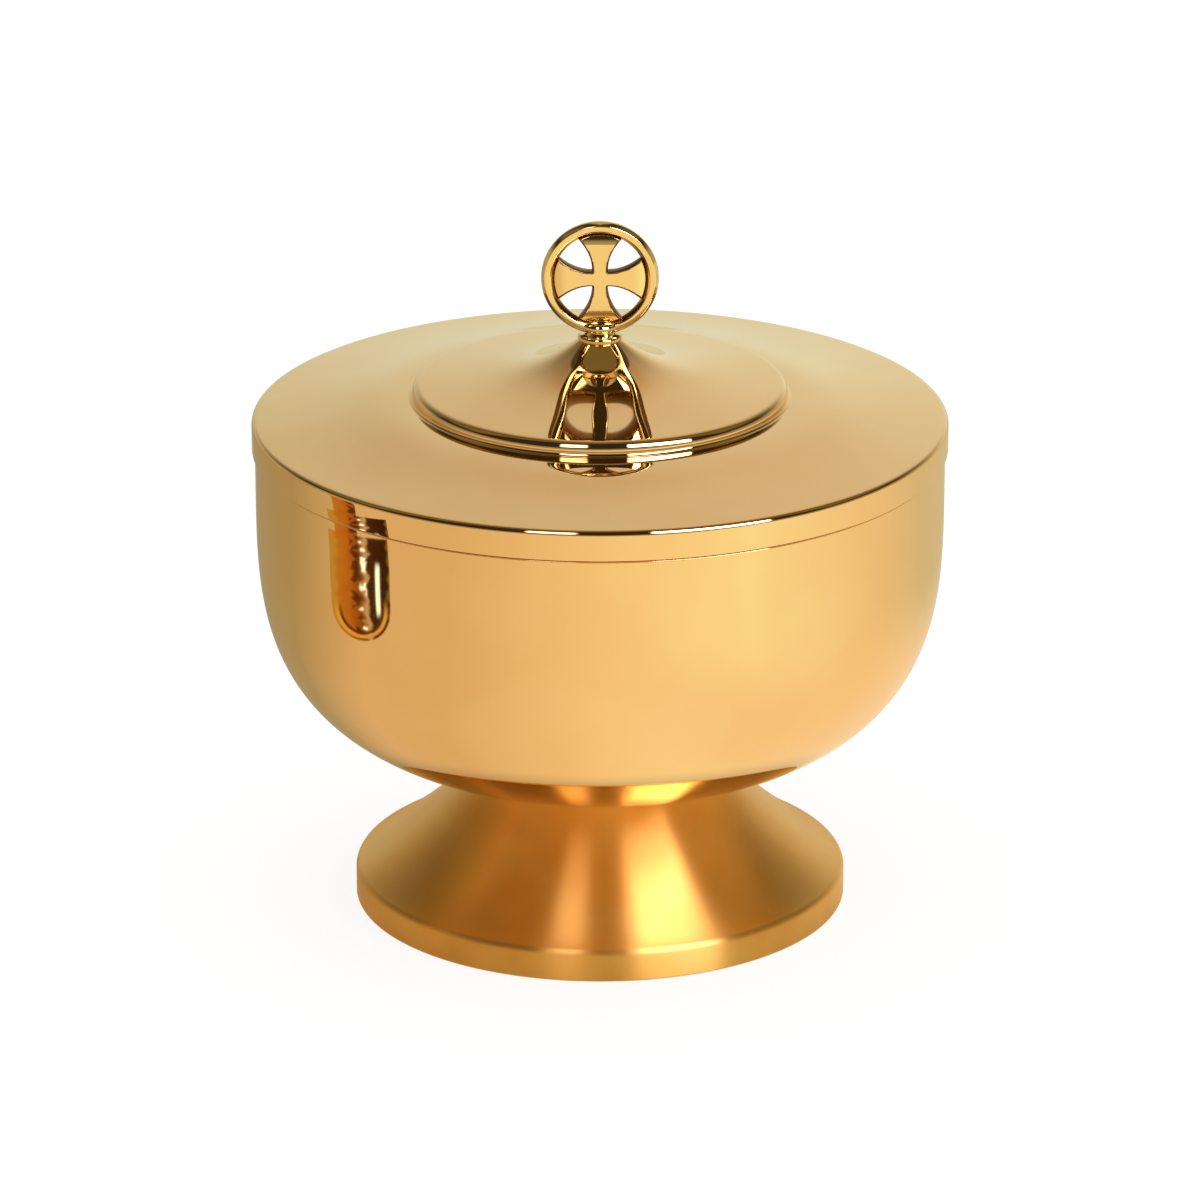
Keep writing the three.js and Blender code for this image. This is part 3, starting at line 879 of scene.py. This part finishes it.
# Painted highlight, painted dark band and painted bright rim colours
CARD_HIGHLIGHT = (1.4, 1.6, 1.8, 1)
CARD_DARK_BAND = (0.1, 0.035, 0.006, 1)
CARD_BRIGHT_RIM = (0.8, 0.42, 0.09, 1)
RIPPLES_PER_MM = (0.09, 0.3)
RIPPLE_DETAIL = 1.5
RIPPLE_SHIFT = 0.5
DARK_BAND = (0.02, 0.3, 0.08)
DARK_BAND_RIPPLE = (0.45, 0.5)
STRING_BAND = (-0.26, -0.08, 0.05)
STRING_RIPPLE = (0.42, 0.48)
STRING_DIM = 0.1
STREAK_BAND = (-0.66, -0.52, 0.03)
STREAK_HEIGHTS = (46, 60, 2)
ROUND_END_BLEND = 4
ROUND_END_DARK = (0.66, 0.76, 0.03)
ROUND_END_BRIGHT_RIM = (0.78, 0.9, 0.03)

# The floor, in metres. Shiny surfaces see its tones, which are painted light and shade that go by the
# bearing in degrees, with a painted shadow round the foot.
FLOOR_RADIUS = 4
FLOOR_SIDES = 64
FLOOR_GLOW = 1.05
FLOOR_WHITE = 0.25
FLOOR_PAINTED_TONES = [
    (-179, (0.7, 0.69, 0.46)),
    (-150, (0.39, 0.32, 0.19)),
    (-110, (0.42, 0.34, 0.18)),
    (-75, (0.72, 0.53, 0.32)),
    (-45, (0.73, 0.54, 0.31)),
    (0, (0.93, 0.75, 0.47)),
    (45, (0.99, 0.95, 0.64)),
    (90, (0.87, 0.73, 0.49)),
    (120, (0.68, 0.60, 0.41)),
    (155, (0.61, 0.55, 0.33)),
    (179, (0.7, 0.69, 0.46)),
]
# Painted light and shade: the tone that shiny surfaces see on the floor near the vessel on its right
FLOOR_NEAR_PAINTED_TONE = (0.95, 0.77, 0.53, 1)
FLOOR_NEAR_DISTANCES = (0.1, 0.24)
FLOOR_NEAR_SIDE = (0, 0.06)
# Painted shadow round the foot, which only shiny surfaces see: its light and where it fades out
FLOOR_FOOT_SHADOW_LIGHT = 0.6
FLOOR_FOOT_SHADOW_DISTANCES = (0.042, 0.065)


def glossy_share(nodes):
    """1 for rays that a shiny surface reflects."""
    return nodes.add("ShaderNodeLightPath").outputs["Is Glossy Ray"]


def turn_from_front(nodes, aside, y):
    """How far a direction turns aside from the front, in degrees: to the right with x, or up with z."""
    return nodes.degrees(nodes.math("ARCTAN2", aside, nodes.product(y, -1.0)))


def add_world():
    """White surroundings. Shiny surfaces see a pale wall behind, a dim ceiling, two lamps and dim light."""
    world = bpy.data.worlds.new("studio")
    world.use_nodes = True
    bpy.context.scene.world = world
    nodes = Nodes(world.node_tree)
    direction = nodes.add("ShaderNodeTexCoord").outputs["Generated"]
    x, y, z = nodes.add("ShaderNodeSeparateXYZ", {0: direction}).outputs[:3]
    elevation = nodes.degrees(nodes.math("ARCSINE", z))
    side = nodes.size(turn_from_front(nodes, x, y))
    lean = nodes.less(y, nodes.product(nodes.size(x), EDGE_LEAN))

    upper = nodes.smooth(z, *UPPER_START)
    low_width = nodes.product(nodes.smooth(side, *WALL_BEARINGS), nodes.less(1.0, upper))
    high_width = nodes.product(nodes.smooth(nodes.size(x), *WALL_WIDTH, 1.0, 0.0), upper)
    wall = nodes.product(nodes.total(low_width, high_width), nodes.smooth(lean, *WALL_TOP))
    wall = nodes.product(wall, nodes.total(1.0, nodes.product(x, WALL_TILT)))
    wall_tone = nodes.mix(nodes.smooth(elevation, *WALL_TONE_HEIGHTS), WALL_LOW, WALL_HIGH)
    wall_tone = nodes.mix(nodes.smooth(z, *UPPER_TONE_START), wall_tone, WALL_UPPER)

    ceiling_edge = nodes.smooth(lean, *CEILING_EDGE, 1.0, 0.0)
    ceiling = nodes.product(nodes.smooth(z, *CEILING_START), nodes.smooth(y, *CEILING_FRONT), ceiling_edge)

    spread = turn_from_front(nodes, x, nodes.less(y, LAMP_START))
    right, left = [
        nodes.product(nodes.band(spread, *lamp), light)
        for lamp, light in zip((RIGHT_LAMP, LEFT_LAMP), LAMP_LIGHTS)
    ]
    climb_angle = turn_from_front(nodes, z, y)
    lamps = nodes.product(nodes.total(right, left), nodes.band(climb_angle, *LAMP_HEIGHTS))

    low_light = nodes.smooth(elevation, *AROUND_HEIGHTS, AROUND_LIGHT, 0.0)
    around = nodes.product(low_light, nodes.smooth(side, *WALL_BEARINGS, 1.0, 0.0))
    side_light = nodes.smooth(nodes.size(x), *SIDE_START, 0.0, SIDE_LIGHT)
    sides = nodes.product(side_light, nodes.smooth(lean, *SIDE_LEAN))
    room = nodes.total(around, sides, ROOM_LIGHT)

    seen = nodes.add("ShaderNodeBackground", {"Color": (1, 1, 1, 1), "Strength": 1.0})
    shades = [
        nodes.add("ShaderNodeBackground", {"Color": tone, "Strength": strength})
        for tone, strength in (
            (wall_tone, wall), (CEILING_TONE, ceiling), (LAMP_TONE, lamps), (ROOM_TONE, room)
        )
    ]
    reflected = shades[0]
    for shade in shades[1:]:
        reflected = nodes.add("ShaderNodeAddShader", {0: reflected.outputs[0], 1: shade.outputs[0]})
    both = {0: glossy_share(nodes), 1: seen.outputs[0], 2: reflected.outputs[0]}
    nodes.end("ShaderNodeOutputWorld", nodes.add("ShaderNodeMixShader", both))


def floor_material():
    """A pale floor that looks white and keeps a soft shadow. Shiny surfaces see instead its tones, which
    are painted light and shade, and a painted shadow round the foot.
    """
    material, nodes = new_material("floor_white")
    place = nodes.add("ShaderNodeTexCoord").outputs["Object"]
    x, y = nodes.add("ShaderNodeSeparateXYZ", {0: place}).outputs[:2]
    distance = nodes.distance(x, y)
    turn = nodes.total(nodes.product(turn_from_front(nodes, x, y), 1 / 360), 0.5)
    # Painted light and shade by bearing, which only shiny surfaces see
    around = nodes.ramp(turn, [(bearing / 360 + 0.5, tone) for bearing, tone in FLOOR_PAINTED_TONES])
    near = nodes.smooth(distance, *FLOOR_NEAR_DISTANCES, 1.0, 0.0)
    near_right = nodes.product(near, nodes.smooth(x, *FLOOR_NEAR_SIDE))
    tone = nodes.mix(near_right, around, FLOOR_NEAR_PAINTED_TONE)
    # Painted shadow: shiny surfaces see the floor dimmer near the foot
    painted_foot_shadow = nodes.smooth(distance, *FLOOR_FOOT_SHADOW_DISTANCES, FLOOR_FOOT_SHADOW_LIGHT, 1.0)
    glossy = glossy_share(nodes)
    colour = nodes.mix(glossy, (1, 1, 1, 1), tone)
    strength = nodes.mix_numbers(glossy, FLOOR_GLOW - FLOOR_WHITE, painted_foot_shadow)
    emission = nodes.add("ShaderNodeEmission", {"Color": colour, "Strength": strength})
    white = nodes.product(nodes.less(1.0, glossy), FLOOR_WHITE)
    diffuse = nodes.add("ShaderNodeBsdfDiffuse", {"Color": nodes.mix(white, (0, 0, 0, 1), (1, 1, 1, 1))})
    both = nodes.add("ShaderNodeAddShader", {0: diffuse.outputs[0], 1: emission.outputs[0]})
    nodes.end("ShaderNodeOutputMaterial", both)
    return material


def add_floor():
    mesh = bpy.data.meshes.new("floor")
    shape = bmesh.new()
    bmesh.ops.create_circle(shape, cap_ends=True, segments=FLOOR_SIDES, radius=FLOOR_RADIUS)
    shape.to_mesh(mesh)
    shape.free()
    floor = add_object("floor", mesh)
    mesh.materials.append(floor_material())


def card_material():
    """A glowing painted reflection of a gilt cup: an amber sheen with painted dark bands and painted
    highlights that run down it in a wavy string.
    """
    material, nodes = new_material("painted_cup_reflection")
    spot = nodes.add("ShaderNodeTexCoord").outputs["Object"]
    parts = nodes.add("ShaderNodeSeparateXYZ", {0: spot}).outputs
    y, z = [nodes.product(part, 1 / MM) for part in parts[1:3]]
    stretched = [nodes.product(part, scale) for part, scale in zip((y, z), RIPPLES_PER_MM)]
    place = nodes.add("ShaderNodeCombineXYZ", enumerate(stretched)).outputs[0]
    noise = {"Vector": place, "Scale": 1.0, "Detail": RIPPLE_DETAIL}
    ripple = nodes.add("ShaderNodeTexNoise", noise).outputs["Fac"]
    across = nodes.product(nodes.less(y, CARD_MIDDLE), 1 / CARD_HALF)
    wavy = nodes.total(across, nodes.product(nodes.less(ripple, 0.5), RIPPLE_SHIFT))
    sheen = nodes.ramp(nodes.total(nodes.product(wavy, 0.5), 0.5), CARD_REFLECTION_TONES)

    # Painted dark bands
    dark_bands = nodes.product(nodes.band(wavy, *DARK_BAND), nodes.smooth(ripple, *DARK_BAND_RIPPLE))
    colour = nodes.mix(dark_bands, sheen, CARD_DARK_BAND)
    # Painted highlights: a wavy string of small lights and a streak
    beads = nodes.smooth(ripple, *STRING_RIPPLE, 1.0, STRING_DIM)
    string = nodes.product(nodes.band(wavy, *STRING_BAND), beads)
    streak = nodes.product(nodes.band(across, *STREAK_BAND), nodes.band(z, *STREAK_HEIGHTS))
    colour = nodes.mix(nodes.total(string, streak), colour, CARD_HIGHLIGHT)

    # A painted dark band and a painted bright rim round the card's lower end
    below = nodes.product(nodes.math("MAXIMUM", nodes.less(CARD_BEND, z), 0.0), 1 / CARD_DEPTH)
    from_middle = nodes.distance(across, below)
    low = nodes.smooth(z, CARD_BEND - ROUND_END_BLEND, CARD_BEND + ROUND_END_BLEND, 1.0, 0.0)
    for rim, tone in ((ROUND_END_DARK, CARD_DARK_BAND), (ROUND_END_BRIGHT_RIM, CARD_BRIGHT_RIM)):
        colour = nodes.mix(nodes.product(nodes.band(from_middle, *rim), low), colour, tone)
    emission = nodes.add("ShaderNodeEmission", {"Color": colour, "Strength": 1.0})
    nodes.end("ShaderNodeOutputMaterial", emission)
    return material


def add_card():
    """A tall amber card with a round lower end, to the vessel's left, that glows with a painted reflection.
    Only shiny surfaces see it.
    """
    outline = [
        (CARD_MIDDLE + CARD_HALF, CARD_SHOULDER),
        (CARD_MIDDLE + CARD_TOP_HALF, CARD_SHOULDER),
        (CARD_MIDDLE + CARD_TOP_HALF, CARD_TOP),
        (CARD_MIDDLE, CARD_TOP),
        (CARD_MIDDLE, CARD_SHOULDER),
        (CARD_MIDDLE - CARD_HALF, CARD_SHOULDER),
    ]
    outline += [
        (CARD_MIDDLE + CARD_HALF * across, CARD_BEND + CARD_DEPTH * up)
        for across, up in arc((0, 0), 1, 180, 360, CARD_ARC_STEPS)
    ]
    mesh = bpy.data.meshes.new("card")
    corners = [Vector((CARD_PLACE, y, z)) * MM for y, z in outline]
    mesh.from_pydata(corners, [], [tuple(range(len(corners)))])
    card = add_object("card", mesh)
    mesh.materials.append(card_material())
    card.visible_camera = False
    card.visible_diffuse = False
    card.visible_transmission = False
    card.visible_shadow = False


def add_camera():
    data = bpy.data.cameras.new("camera")
    data.lens = CAMERA_LENS
    data.sensor_width = CAMERA_SENSOR
    data.clip_start, data.clip_end = CAMERA_SIGHT
    camera = add_object("camera", data)
    back = Vector((0, -math.cos(CAMERA_PITCH), math.sin(CAMERA_PITCH)))
    aim = Vector((0, 0, CAMERA_AIM_HEIGHT))
    camera.location = (aim + back * CAMERA_DISTANCE) * MM
    camera.rotation_euler = (math.pi / 2 - CAMERA_PITCH, 0, 0)
    bpy.context.scene.camera = camera


bpy.context.scene.view_settings.view_transform = "Standard"
add_vessel()
add_lid()
add_finial()
dress_fasteners()
add_world()
add_floor()
add_card()
add_camera()
